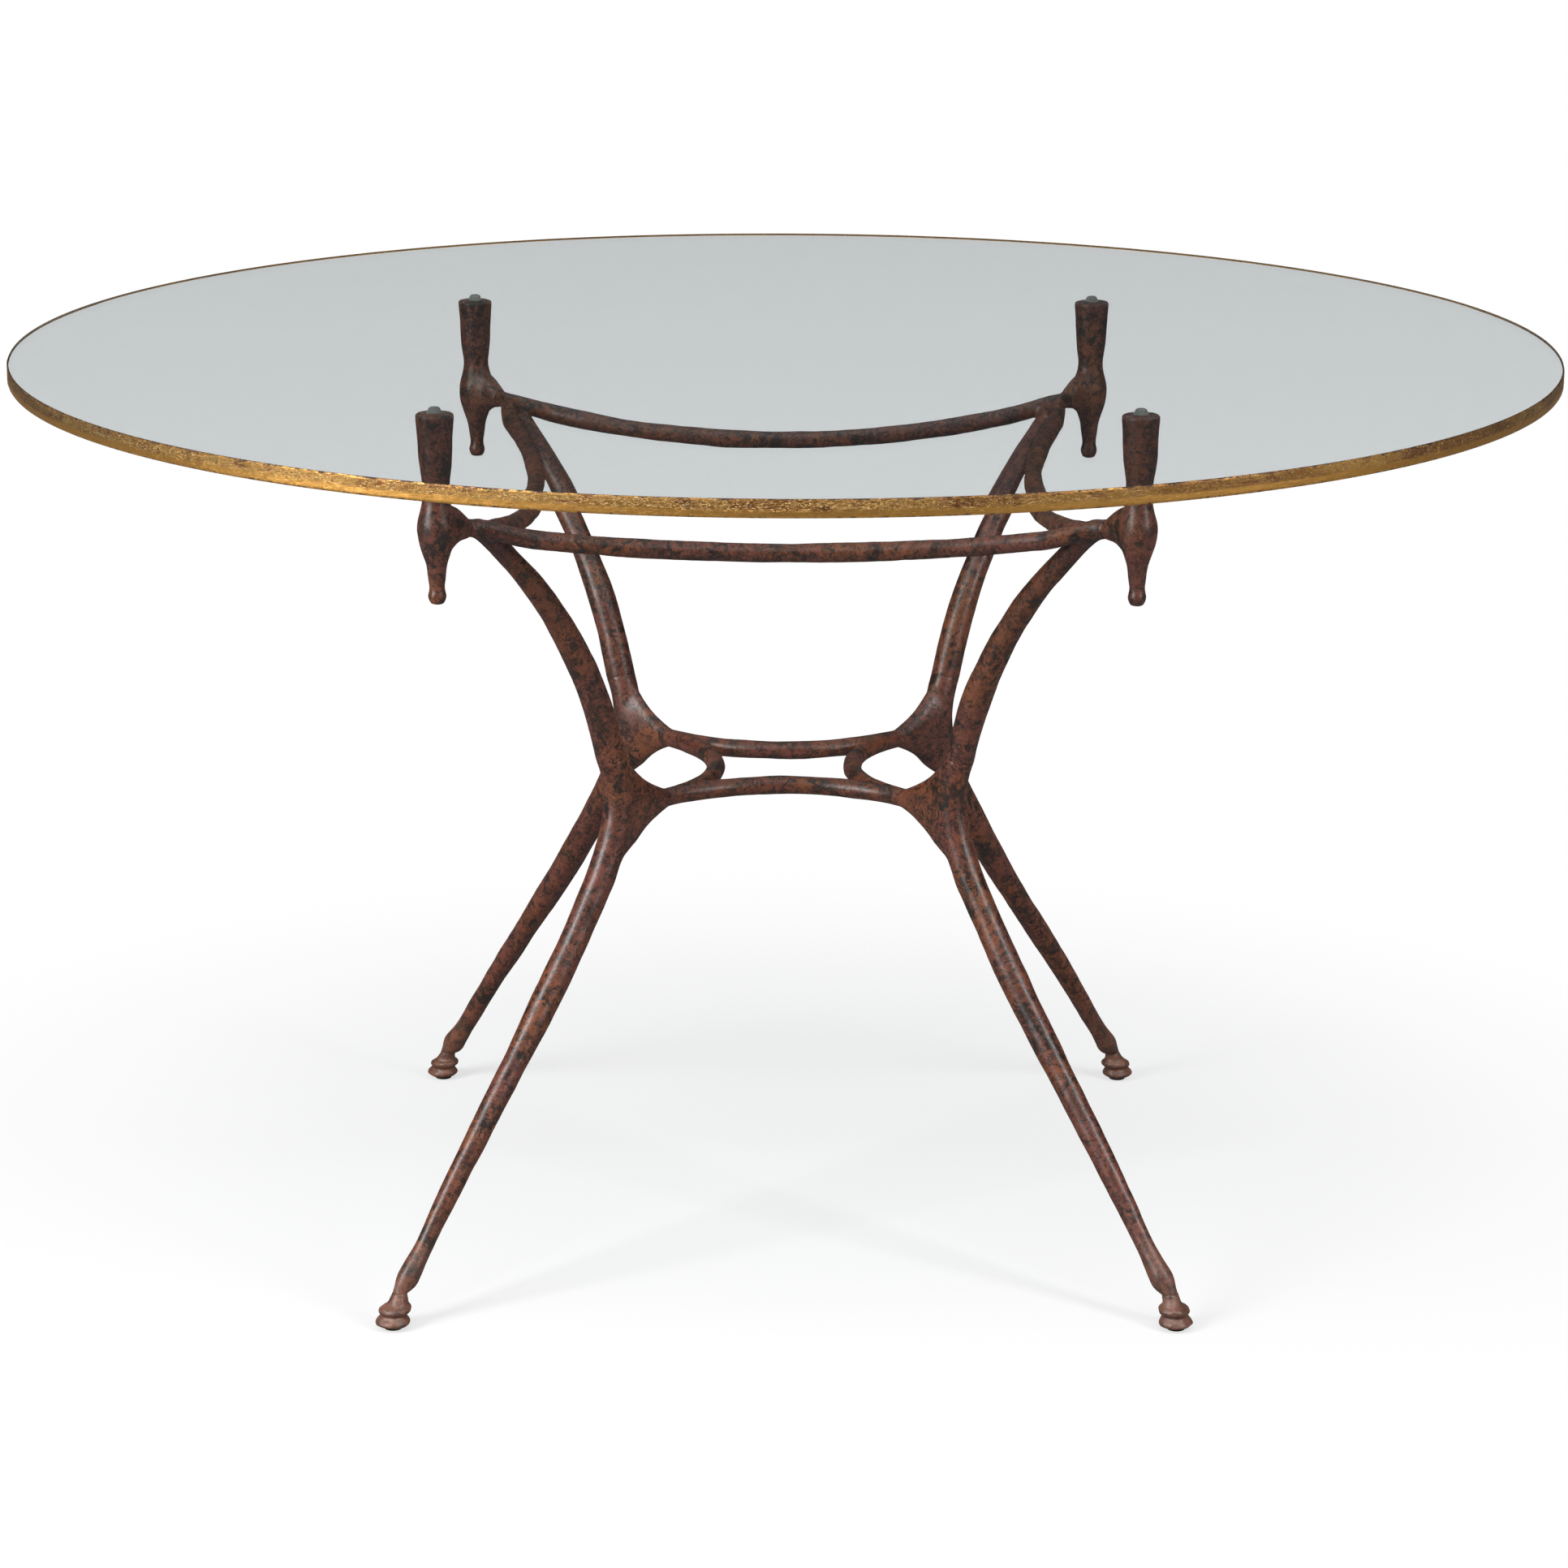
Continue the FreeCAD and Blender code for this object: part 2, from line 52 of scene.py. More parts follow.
# Corners by the angle of their diagonal, and the sides between them
CORNERS = {"front_left": 225.0, "front_right": 315.0, "back_right": 45.0, "back_left": 135.0}
SIDES = ("front", "right", "back", "left")

# Joints of the castings in a corner's frame, +X outwards along the diagonal
WAIST_SEAM = (0.2050, 0.0, 0.4371)
WAIST_SEAM_AXIS = (0.2559, 0.0, 0.9667)
RAIL_JOINT = (0.31666, 0.02680, 0.6435)
RAIL_JOINT_AXIS = (0.87121, -0.46349, 0.16178)
WEB_START = 0.1424
STRETCHER_HEIGHT = 0.391
STRETCHER_MITRE = 0.112
FOOT_AXIS = 0.454
POST_AXIS = 0.3937
RAIL_MIN_HEIGHT = 0.56
RAIL_MIN_OFFSET = 0.014

# How far the cut at each joint reaches, and how deep the seams that show are pressed in
WAIST_REACH = 0.026
RAIL_REACH = 0.016
WEB_REACH = 0.022
MITRE_REACH = 0.040
GROOVE_DEPTH = 0.0004
FAINT_DEPTH = 0.0001
CUT_TOLERANCE = 1e-6

# Even meshing
LIMB_VOXEL = 0.0017
POST_VOXEL = 0.0011
FOOT_VOXEL = 0.0008

# Places where castings flow into each other, in a corner's frame: middle, inner and outer distance
WEB_FILL = ((0.185, 0.0, 0.380), 0.085, 0.130)
FORK_FILL = ((0.135, 0.0, STRETCHER_HEIGHT), 0.022, 0.045)
ROOT_FILL = ((0.338, 0.0, 0.647), 0.018, 0.048)
NECK_FILL = ((0.374, 0.0, 0.6565), 0.020, 0.040)
WEB_TIP = ((0.193, 0.0, 0.343), 0.006, 0.024)
FORK_STRENGTH = 0.3
ROOT_STRENGTH = 0.35

# Filling, relaxing and smoothing: the step and swelling of a round, and how many rounds
FILL_STEP = 0.9
FILL_SWELL = 0.000004
NORMALS_EVERY = 8
TURN_GAIN = 2.2
TURN_OFFSET = 0.8
RELAX_STEP = 0.5
SMOOTH_IN = 0.5
SMOOTH_OUT = 0.52
LIMB_FILL_ROUNDS = 640
LIMB_SMOOTH_ROUNDS = 5
TIP_RELAX_ROUNDS = 60
POST_FILL_ROUNDS = 140
POST_SMOOTH_ROUNDS = 4
POST_RELAX_ROUNDS = 8
FOOT_SMOOTH_ROUNDS = 2

# Hand-worked unevenness, as pairs of waves per metre and height
LIMB_WAVES = ((21.0, 0.0009), (55.0, 0.00035), (140.0, 0.00012))
POST_WAVES = ((30.0, 0.0006), (110.0, 0.0002))
FOOT_WAVES = ((70.0, 0.0011), (190.0, 0.0004))

# How far an ankle or foot leans in towards the table's middle, by height
LEAN_HEIGHTS = (0.0, 0.005, 0.010, 0.017, 0.022, 0.026, 0.030, 0.038, 0.053, 0.073, 0.120)
LEAN_INWARD = (0.0, -0.0006, 0.0004, 0.0028, 0.0050, 0.0069, 0.0077, 0.0058, 0.0036, 0.0019, 0.0)

# Width of a foot against its solid's, by height, and how far and from where its top edge is raised
FOOT_HEIGHTS = (0.0, 0.0045, 0.007, 0.0095, 0.012, 0.0145, 0.017, 0.0195, 0.022, 0.025, 0.030)
FOOT_FACTORS = (1.0, 1.07, 1.0, 0.92, 0.92, 0.97, 0.93, 0.84, 0.88, 0.92, 0.88)
FOOT_TOP_RISE = 0.0008
FOOT_TOP_START = 0.024
FOOT_TOP_BLEND = 0.004

# Band below a post's top that is rounded, and how soon it is rounded fully
POST_RIM_BAND = 0.005
POST_RIM_BLEND = 0.003

# Disc and gilding: segments round the table, and the angle in degrees above which an edge is sharp.
# The gilding's crumples and wavering are pairs of waves per metre and height.
GLASS_SEGMENTS = 960
GLASS_ARRIS = 0.0006
GLASS_SHARP = 20
GILDING_SEGMENTS = 2800
GILDING_ROWS = 15
GILDING_LAP = 0.0002
GILDING_ROUNDING = 0.0009
GILDING_DEPTH = 0.0003
GILDING_SHARP = 50
CRUMPLE = (260.0, 0.00014)
WAVER = (60.0, 0.00016)

# Dome of a bumper: radius, and height above its base
BUMPER_SEGMENTS = 48
STEM_RADIUS = 0.0020
CROWN_RADIUS = 0.0018
DOME_HEIGHT = 0.005
DOME = (
    (0.0064, 0.0),
    (0.0066, 0.0003),
    (0.0065, 0.0008),
    (0.0060, 0.0011),
    (0.0053, 0.0013),
    (0.00518, 0.0018),
    (0.0051, 0.0026),
    (0.0048, 0.0034),
    (0.0042, 0.0042),
    (0.0032, 0.0048),
)

# Softboxes: azimuth and elevation in degrees, width and height in metres, power in watts
LAMPS = {
    "left": (-52.0, 26.0, 1.0, 2.2, 94.0),
    "right": (50.0, 30.0, 0.6, 2.2, 50.0),
    "front": (4.0, 56.0, 2.2, 0.5, 34.0),
}
LAMP_DISTANCE = 3.2
LAMP_AIM = (0.0, 0.0, 0.45)


# Mesh arrays

def remeshed(nodes, voxel):
    """Vertices and quads of the union of CAD nodes, evenly meshed, without loose islands."""
    bm = bmesh.new()
    for node in nodes:
        bm.from_mesh(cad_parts[node].data)
    mesh = bpy.data.meshes.new("union")
    bm.to_mesh(mesh)
    bm.free()
    obj = bpy.data.objects.new("union", mesh)
    scene.collection.objects.link(obj)
    modifier = obj.modifiers.new("Even", "REMESH")
    modifier.mode = "VOXEL"
    modifier.voxel_size = voxel
    made = obj.evaluated_get(bpy.context.evaluated_depsgraph_get()).to_mesh()
    points = np.empty(len(made.vertices) * 3, np.float32)
    made.vertices.foreach_get("co", points)
    quads = np.empty(len(made.loops), np.int32)
    made.loops.foreach_get("vertex_index", quads)
    bpy.data.objects.remove(obj)
    bpy.data.meshes.remove(mesh)
    return largest_island(points.reshape(-1, 3).astype(float), quads.reshape(-1, 4))


def largest_island(points, quads):
    """The vertices and quads of the connected part that has the most vertices."""
    label = np.arange(len(points))
    edges = edges_of(quads)
    while True:
        low = np.minimum(label[edges[:, 0]], label[edges[:, 1]])
        new = label.copy()
        np.minimum.at(new, edges[:, 0], low)
        np.minimum.at(new, edges[:, 1], low)
        new = new[new]
        if (new == label).all():
            break
        label = new
    values, counts = np.unique(label, return_counts=True)
    keep = label == values[counts.argmax()]
    index = np.cumsum(keep) - 1
    return points[keep], index[quads[keep[quads[:, 0]]]]


def edges_of(quads):
    pairs = np.vstack([quads[:, [0, 1]], quads[:, [1, 2]], quads[:, [2, 3]], quads[:, [3, 0]]])
    return np.unique(np.sort(pairs, axis=1), axis=0)


def summed(index, values, count):
    """Sum of the vectors that share an index."""
    return np.column_stack([np.bincount(index, values[:, k], count) for k in range(3)])


def normals_of(points, quads):
    a, b, c, d = (points[quads[:, k]] for k in range(4))
    face = np.cross(c - a, d - b)
    total = sum(summed(quads[:, k], face, len(points)) for k in range(4))
    return total / np.maximum(np.linalg.norm(total, axis=1), 1e-12)[:, None]


def graph_of(points, quads):
    """Edges of a mesh, and how many of them meet at each vertex."""
    edges = edges_of(quads)
    return edges, np.bincount(edges.ravel(), minlength=len(points)).astype(float)


def part_of(points, quads, weight):
    """Vertices that have a weight or a neighbour with one, their edges, and how many meet at each."""
    edges, degree = graph_of(points, quads)
    near = (weight[edges] > 0.0).any(axis=1)
    used, local = np.unique(edges[near], return_inverse=True)
    return used, local.reshape(-1, 2), degree[used]


def pull(points, edges, degree):
    """Vector from each vertex to the mean of its neighbours."""
    ends = np.concatenate([edges[:, 0], edges[:, 1]])
    others = np.concatenate([edges[:, 1], edges[:, 0]])
    return summed(ends, points[others], len(points)) / degree[:, None] - points


def fill(points, quads, weight, rounds, across=None):
    """Fill hollows where the weight asks, swelling a little each round.

    Where across gives a vertex a direction, only faces turned along it are filled, so that a
    flat web keeps its outline.
    """
    used, local, degree = part_of(points, quads, weight)
    points = points.copy()
    limit = np.ones(len(used))
    for step in range(rounds):
        if step % NORMALS_EVERY == 0:
            normals = normals_of(points, quads)[used]
            if across is not None:
                turned = np.abs((normals * across[used]).sum(axis=1))
                free = (across[used] == 0.0).all(axis=1)
                limit = np.where(free, 1.0, np.clip(TURN_GAIN * turned - TURN_OFFSET, 0.0, 1.0))
        rise = (pull(points[used], local, degree) * normals).sum(axis=1) + FILL_SWELL
        points[used] += normals * (FILL_STEP * np.maximum(rise, 0.0) * weight[used] * limit)[:, None]
    return points


def smooth(points, quads, rounds):
    """Smooth the whole surface, in and out again so that it doesn't shrink."""
    edges, degree = graph_of(points, quads)
    for _ in range(rounds):
        points = points + SMOOTH_IN * pull(points, edges, degree)
        points = points - SMOOTH_OUT * pull(points, edges, degree)
    return points


def relax(points, quads, weight, rounds):
    """Even out the surface where the weight asks, rounding corners and notches alike."""
    used, local, degree = part_of(points, quads, weight)
    points = points.copy()
    for _ in range(rounds):
        points[used] += RELAX_STEP * weight[used, None] * pull(points[used], local, degree)
    return points


def falloff(points, place, corner):
    """1 within the inner distance of a place in a corner's frame, 0 beyond the outer."""
    centre, inner, outer = place
    away = np.linalg.norm(points - np.array(in_row(centre, corner)), axis=1)
    share = np.clip((outer - away) / (outer - inner), 0.0, 1.0)
    return share * share * (3 - 2 * share)


def unevenness(points, waves):
    """Height of a hand-worked surface at each point, each kind of wave with a noise of its own."""
    total = np.zeros(len(points))
    for number, (scale, height) in enumerate(waves):
        shift = Vector((7.3 * number, 3.1, 1.7 * number))
        total += height * np.array([noise.noise(Vector(p) * scale + shift) for p in points])
    return total


def in_row(point, corner):
    """A corner frame's point or direction in the row frame."""
    angle = math.radians(CORNERS[corner])
    x, y, z = point
    return Vector(
        (x * math.cos(angle) - y * math.sin(angle), x * math.sin(angle) + y * math.cos(angle), z)
    )


def corner_of(x, y):
    return f"{'back' if y > 0 else 'front'}_{'right' if x > 0 else 'left'}"


def side_of(x, y):
    if abs(x) > abs(y):
        return "right" if x > 0 else "left"
    return "back" if y > 0 else "front"


# Castings

def new_piece(name, mesh, body, nodes):
    obj = bpy.data.objects.new(name, mesh)
    scene.collection.objects.link(obj)
    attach(obj, body)
    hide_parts(*nodes)
    return obj


def closed_mesh(name, points, faces, normals):
    """Mesh of some faces of a larger one, its openings capped, shaded with the given normals."""
    used = sorted({v for face in faces for v in face})
    index = {v: i for i, v in enumerate(used)}
    mesh = bpy.data.meshes.new(name)
    mesh.from_pydata([points[v] for v in used], [], [[index[v] for v in face] for face in faces])
    bm = bmesh.new()
    bm.from_mesh(mesh)
    sides = len(bm.faces)
    rim = [e for e in bm.edges if e.is_boundary]
    if rim:
        bmesh.ops.holes_fill(bm, edges=rim, sides=0)
    bm.faces.ensure_lookup_table()
    bmesh.ops.recalc_face_normals(bm, faces=bm.faces[:])
    if bm.calc_volume(signed=True) < 0:
        bmesh.ops.reverse_faces(bm, faces=bm.faces[:])
    bm.to_mesh(mesh)
    bm.free()
    mesh.polygons.foreach_set("use_smooth", [True] * len(mesh.polygons))
    custom = []
    for number, polygon in enumerate(mesh.polygons):
        if number < sides:
            custom.extend(normals[used[v]] for v in polygon.vertices)
        else:
            custom.extend([polygon.normal] * len(polygon.vertices))
    mesh.normals_split_custom_set([tuple(n) for n in custom])
    return mesh


def cut_at(bm, point, axis, reach, box=None):
    """Cut the mesh along a plane near a point, and return the new vertices."""
    near = []
    for face in bm.faces:
        centre = face.calc_center_median()
        if (centre - point).length < reach and (box is None or box(centre)):
            near.append(face)
    geometry = set(near)
    for face in near:
        geometry.update(face.edges)
        geometry.update(face.verts)
    made = bmesh.ops.bisect_plane(
        bm, geom=list(geometry), dist=CUT_TOLERANCE, plane_co=point, plane_no=axis
    )
    return [g for g in made["geom_cut"] if isinstance(g, bmesh.types.BMVert)]


def limb_weight(points):
    """Where limbs, rails and stretchers flow into each other, and across which way at the webs."""
    weight = np.zeros(len(points))
    across = np.zeros((len(points), 3))
    for corner in CORNERS:
        web = falloff(points, WEB_FILL, corner)
        across[web > 0.0] = in_row((0.0, 1.0, 0.0), corner)
        fork = FORK_STRENGTH * falloff(points, FORK_FILL, corner)
        root = ROOT_STRENGTH * falloff(points, ROOT_FILL, corner)
        across[fork > web] = 0.0
        weight = np.maximum(weight, np.maximum(web, np.maximum(fork, root)))
    return weight, across


def leaned(points):
    """Points of the legs or feet, moved in along their diagonals at the ankles."""
    away = np.sign(points[:, :2]) * math.sqrt(0.5)
    points = points.copy()
    points[:, :2] -= away * np.interp(points[:, 2], LEAN_HEIGHTS, LEAN_INWARD)[:, None]
    return points


def limb_piece(centre):
    """CAD node that a face of the joined limbs belongs to."""
    x, y, z = centre
    corner = corner_of(x, y)
    angle = math.radians(CORNERS[corner])
    out = x * math.cos(angle) + y * math.sin(angle)
    across = y * math.cos(angle) - x * math.sin(angle)
    if out < WEB_START and z < RAIL_MIN_HEIGHT:
        return f"{side_of(x, y)}_stretcher"
    if z > RAIL_MIN_HEIGHT and abs(across) > RAIL_MIN_OFFSET:
        apart = (out - RAIL_JOINT[0], abs(across) - RAIL_JOINT[1], z - RAIL_JOINT[2])
        if sum(a * b for a, b in zip(apart, RAIL_JOINT_AXIS)) < 0:
            return f"{side_of(x, y)}_rail"
    apart = (out - WAIST_SEAM[0], across, z - WAIST_SEAM[2])
    if sum(a * b for a, b in zip(apart, WAIST_SEAM_AXIS)) < 0:
        return f"{corner}_leg"
    return f"{corner}_arm"


def limb_surface():
    """Points and quads of the joined arms, legs, rails and stretchers, filled, leaned and uneven."""
    nodes = [f"{corner}_{part}" for corner in CORNERS for part in ("arm", "leg")]
    nodes += [f"{side}_{part}" for side in SIDES for part in ("rail", "stretcher")]
    points, quads = remeshed(nodes, LIMB_VOXEL)
    weight, across = limb_weight(points)
    points = fill(points, quads, weight, LIMB_FILL_ROUNDS, across)
    points = smooth(points, quads, LIMB_SMOOTH_ROUNDS)
    tips = np.zeros(len(points))
    for corner in CORNERS:
        tips = np.maximum(tips, falloff(points, WEB_TIP, corner))
    points = leaned(relax(points, quads, tips, TIP_RELAX_ROUNDS))
    height = unevenness(points, LIMB_WAVES)
    return points + normals_of(points, quads) * height[:, None], quads


def cut_joints(bm):
    """Cut the joined limbs at their CAD joints, and press in the seams that show."""
    grooves = []
    faint = []
    for corner in CORNERS:
        seam = in_row(WAIST_SEAM, corner)
        grooves += cut_at(bm, seam, in_row(WAIST_SEAM_AXIS, corner), WAIST_REACH)
        for hand in (-1, 1):
            x, y, z = RAIL_JOINT
            ax, ay, az = RAIL_JOINT_AXIS
            joint = in_row((x, hand * y, z), corner)
            faint += cut_at(bm, joint, in_row((ax, hand * ay, az), corner), RAIL_REACH)
        sideways = in_row((0.0, 1.0, 0.0), corner)
        out = in_row((1.0, 0.0, 0.0), corner)
        web = in_row((WEB_START, 0.0, STRETCHER_HEIGHT), corner)
        cut_at(bm, web, out, WEB_REACH)
        middle = in_row((STRETCHER_MITRE, 0.0, STRETCHER_HEIGHT), corner)
        limit = WEB_START + CUT_TOLERANCE
        cut_at(bm, middle, sideways, MITRE_REACH, lambda c, out=out, limit=limit: c.dot(out) < limit)
    bm.normal_update()
    for vertices, depth in ((set(grooves), GROOVE_DEPTH), (set(faint), FAINT_DEPTH)):
        for vertex in vertices:
            vertex.co -= vertex.normal * depth
    bm.normal_update()


def build_limbs(material):
    """Arms, legs, rails and stretchers as one flowing casting, cut apart again at their joints."""
    points, quads = limb_surface()
    mesh = bpy.data.meshes.new("limbs")
    mesh.from_pydata(points.tolist(), [], quads.tolist())
    bm = bmesh.new()
    bm.from_mesh(mesh)
    bpy.data.meshes.remove(mesh)
    cut_joints(bm)
    bm.verts.index_update()
    points = [v.co.copy() for v in bm.verts]
    normals = [v.normal.copy() for v in bm.verts]
    groups = {}
    for face in bm.faces:
        piece = limb_piece(face.calc_center_median())
        groups.setdefault(piece, []).append([v.index for v in face.verts])
    bm.free()
    for node, faces in sorted(groups.items()):
        made = closed_mesh(f"{node}_cast", points, faces, normals)
        made.materials.append(material)
        new_piece(f"{node}_cast", made, "base", [node])


def add_casting(node, points, quads, waves, material):
    """A hand-worked post or foot in its CAD node's place."""
    points = points + normals_of(points, quads) * unevenness(points, waves)[:, None]
    mesh = bpy.data.meshes.new(f"{node}_cast")
    mesh.from_pydata(points.tolist(), [], quads.tolist())
    mesh.polygons.foreach_set("use_smooth", [True] * len(mesh.polygons))
    mesh.materials.append(material)
    new_piece(f"{node}_cast", mesh, "base", [node])


def build_post(corner, material):
    """Post with its neck filled and its upper rim rounded."""
    points, quads = remeshed([f"{corner}_post"], POST_VOXEL)
    points = fill(points, quads, falloff(points, NECK_FILL, corner), POST_FILL_ROUNDS)
    points = smooth(points, quads, POST_SMOOTH_ROUNDS)
    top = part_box(f"{corner}_post")[1].z
    rim = np.clip((points[:, 2] - top + POST_RIM_BAND) / POST_RIM_BLEND, 0.0, 1.0)
    points = relax(points, quads, rim, POST_RELAX_ROUNDS)
    add_casting(f"{corner}_post", points, quads, POST_WAVES, material)


def build_foot(corner, material):
    """Turned foot: a slim-shouldered bell over a low ring, leaning with its leg."""
    points, quads = remeshed([f"{corner}_foot"], FOOT_VOXEL)
    points = smooth(points, quads, FOOT_SMOOTH_ROUNDS)
    centre = np.array(in_row((FOOT_AXIS, 0.0, 0.0), corner))[:2]
    factor = np.interp(points[:, 2], FOOT_HEIGHTS, FOOT_FACTORS)
    points[:, :2] = centre + (points[:, :2] - centre) * factor[:, None]
    points = leaned(points)
    raised = np.clip((points[:, 2] - FOOT_TOP_START) / FOOT_TOP_BLEND, 0.0, 1.0)
    points[:, 2] += FOOT_TOP_RISE * raised
    add_casting(f"{corner}_foot", points, quads, FOOT_WAVES, material)


# Glass, gilding and bumpers

def lathe(outline, segments):
    """Smooth open mesh turned about the table's axis from an outline of (radius, height)."""
    bm = bmesh.new()
    rings = []
    for radius, height in outline:
        ring = []
        for k in range(segments):
            angle = math.tau * k / segments
            ring.append(bm.verts.new((radius * math.cos(angle), radius * math.sin(angle), height)))
        rings.append(ring)
    for low, high in zip(rings, rings[1:]):
        for k in range(segments):
            face = bm.faces.new((low[k - 1], low[k], high[k], high[k - 1]))
            face.smooth = True
    return bm, rings


def close_ends(bm, rings):
    bm.faces.new(list(reversed(rings[0])))
    bm.faces.new(rings[-1])
    bmesh.ops.recalc_face_normals(bm, faces=bm.faces[:])


def sharpen(bm, degrees):
    """Leave edges sharp where the surface turns by more than an angle."""
    for edge in bm.edges:
        edge.smooth = not (edge.calc_face_angle(0.0) > math.radians(degrees))


def mesh_of(bm, name, material):
    mesh = bpy.data.meshes.new(name)
    bm.to_mesh(mesh)
    bm.free()
    mesh.materials.append(material)
    return mesh


def build_glass(material):
    """Clear disc with small arrises."""
    low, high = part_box("glass_top")
    radius = high.x
    outline = [
        (radius - GLASS_ARRIS, low.z),
        (radius, low.z + GLASS_ARRIS),
        (radius, high.z - GLASS_ARRIS),
        (radius - GLASS_ARRIS, high.z),
    ]
    bm, rings = lathe(outline, GLASS_SEGMENTS)
    close_ends(bm, rings)
    sharpen(bm, GLASS_SHARP)
    mesh = mesh_of(bm, "glass_disc", material)
    return new_piece("glass_disc", mesh, "top", ["glass_top"])


def wave(place, kind):
    """Height of one kind of wave at a place."""
    scale, height = kind
    return noise.noise(place * scale) * height


def build_gilding(material):
    """Leaf over the disc's edge: a thin band with a wavering, slightly crumpled face."""
    low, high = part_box("gilded_edge")
    glass_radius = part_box("glass_top")[1].x
    outer = high.x
    inner = glass_radius - GILDING_LAP
    outline = [(inner, low.z)]
    for k in range(GILDING_ROWS):
        share = k / (GILDING_ROWS - 1)
        height = low.z + share * (high.z - low.z)
        edge = min(height - low.z, high.z - height)
        short = max(GILDING_ROUNDING - edge, 0.0)
        drop = GILDING_ROUNDING - math.sqrt(max(GILDING_ROUNDING**2 - short**2, 0.0))
        outline.append((outer - drop, height))
    outline.append((inner, high.z))
    bm, rings = lathe(outline, GILDING_SEGMENTS)
    first, last = rings[0], rings[-1]
    for k in range(len(first)):
        bm.faces.new((first[k], first[k - 1], last[k - 1], last[k]))
    for ring in rings[2:-2]:
        for vertex in ring:
            out = Vector((vertex.co.x, vertex.co.y, 0.0)).normalized()
            vertex.co -= out * (GILDING_DEPTH + wave(vertex.co, CRUMPLE) + wave(vertex.co, WAVER))
    bmesh.ops.recalc_face_normals(bm, faces=bm.faces[:])
    sharpen(bm, GILDING_SHARP)
    mesh = mesh_of(bm, "gilded_band", material)
    new_piece("gilded_band", mesh, "top", ["gilded_edge"])


def build_bumper(corner, material):
    """Clear dome with a soft crown on a thin flange, and a stem below."""
    low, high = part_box(f"{corner}_bumper")
    centre = in_row((POST_AXIS, 0.0, 0.0), corner)
    base = high.z - DOME_HEIGHT
    outline = [(STEM_RADIUS, low.z), (STEM_RADIUS, base)]
    outline += [(radius, base + height) for radius, height in DOME]
    outline.append((CROWN_RADIUS, high.z))
    bm, rings = lathe(outline, BUMPER_SEGMENTS)
    close_ends(bm, rings)
    bmesh.ops.translate(bm, verts=bm.verts[:], vec=(centre.x, centre.y, 0.0))
    mesh = mesh_of(bm, f"{corner}_dome", material)
    new_piece(f"{corner}_dome", mesh, "base", [f"{corner}_bumper"])


# Shader nodes

def new_material(name):
    material = bpy.data.materials.new(name)
    material.use_nodes = True
    material.node_tree.nodes.clear()
    return material, material.node_tree


def feed(tree, socket, value):
    """Link another node's output to a socket, or set a value there."""
    if isinstance(value, bpy.types.NodeSocket):
        tree.links.new(value, socket)
    else:
        socket.default_value = value


def put(tree, kind, inputs=None, **settings):
    """Add a node, with its settings, and its inputs linked or set."""
    item = tree.nodes.new(kind)
    for key, value in settings.items():
        setattr(item, key, value)
    for key, value in (inputs or {}).items():
        feed(tree, item.inputs[key], value)
    return item


def grain(tree, where, scale, detail, roughness=0.5, distortion=0.0):
    """Noise from 0 to 1 at a scale in waves per metre."""
    inputs = {
        "Vector": where,
        "Scale": scale,
        "Detail": detail,
        "Roughness": roughness,
        "Distortion": distortion,
    }
    return put(tree, "ShaderNodeTexNoise", inputs).outputs["Fac"]


def calc(tree, operation, *values):
    """Result of a sum, product or the like."""
    return put(tree, "ShaderNodeMath", dict(enumerate(values)), operation=operation).outputs[0]


def between(tree, value, low, high, to_low=0.0, to_high=1.0):
    """Smooth step of a value from one range to another."""
    inputs = {
        "Value": value,
        "From Min": low,
        "From Max": high,
        "To Min": to_low,
        "To Max": to_high,
    }
    kind = "ShaderNodeMapRange"
    return put(tree, kind, inputs, interpolation_type="SMOOTHSTEP").outputs["Result"]


def blend_colour(tree, share, first, second):
    """Colour between two. Its node has the colour inputs at 6 and 7, and their mix at output 2."""
    item = put(tree, "ShaderNodeMix", data_type="RGBA")
    feed(tree, item.inputs[0], share)
    for socket, value in ((item.inputs[6], first), (item.inputs[7], second)):
        feed(tree, socket, (*value, 1.0) if isinstance(value, tuple) else value)
    return item.outputs[2]


def mix_shaders(tree, share, first, second):
    return put(tree, "ShaderNodeMixShader", {0: share, 1: first, 2: second}).outputs["Shader"]


def show(tree, shader):
    put(tree, "ShaderNodeOutputMaterial", {"Surface": shader})


def show_principled(tree, inputs):
    show(tree, put(tree, "ShaderNodeBsdfPrincipled", inputs).outputs["BSDF"])


def object_place(tree):
    return put(tree, "ShaderNodeTexCoord").outputs["Object"]


def linear(red, green, blue):
    """Linear colour of an sRGB one given from 0 to 255."""
    def one(value):
        value /= 255.0
        return value / 12.92 if value <= 0.04045 else ((value + 0.055) / 1.055) ** 2.4
    return (one(red), one(green), one(blue))


def grey(value):
    return (value, value, value)


RED_BROWN = linear(115, 64, 52)
WARM_BROWN = linear(129, 73, 46)
DEEP_BROWN = linear(65, 35, 25)
ORANGE_FLECK = linear(158, 91, 62)
DARK_SPECK = linear(42, 24, 18)
DARK_CLOUD = linear(31, 26, 21)
DARK_STROKE = linear(24, 17, 13)
DUST = linear(142, 106, 88)

GOLD = linear(196, 148, 80)
DULL_GOLD = linear(164, 116, 62)
OCHRE = linear(232, 172, 88)
BROWN_STREAK = linear(124, 78, 50)
BROWN_CRUMB = linear(92, 58, 40)
# Colour of the painted glints on the gilding's bright flecks
PAINTED_GLINT = linear(255, 226, 158)
DARK_GROUND = linear(52, 34, 26)

MILKY = linear(222, 219, 212)
CLOUDY = linear(196, 193, 186)
BLACK = linear(22, 21, 20)
SCUFFED = linear(60, 57, 54)

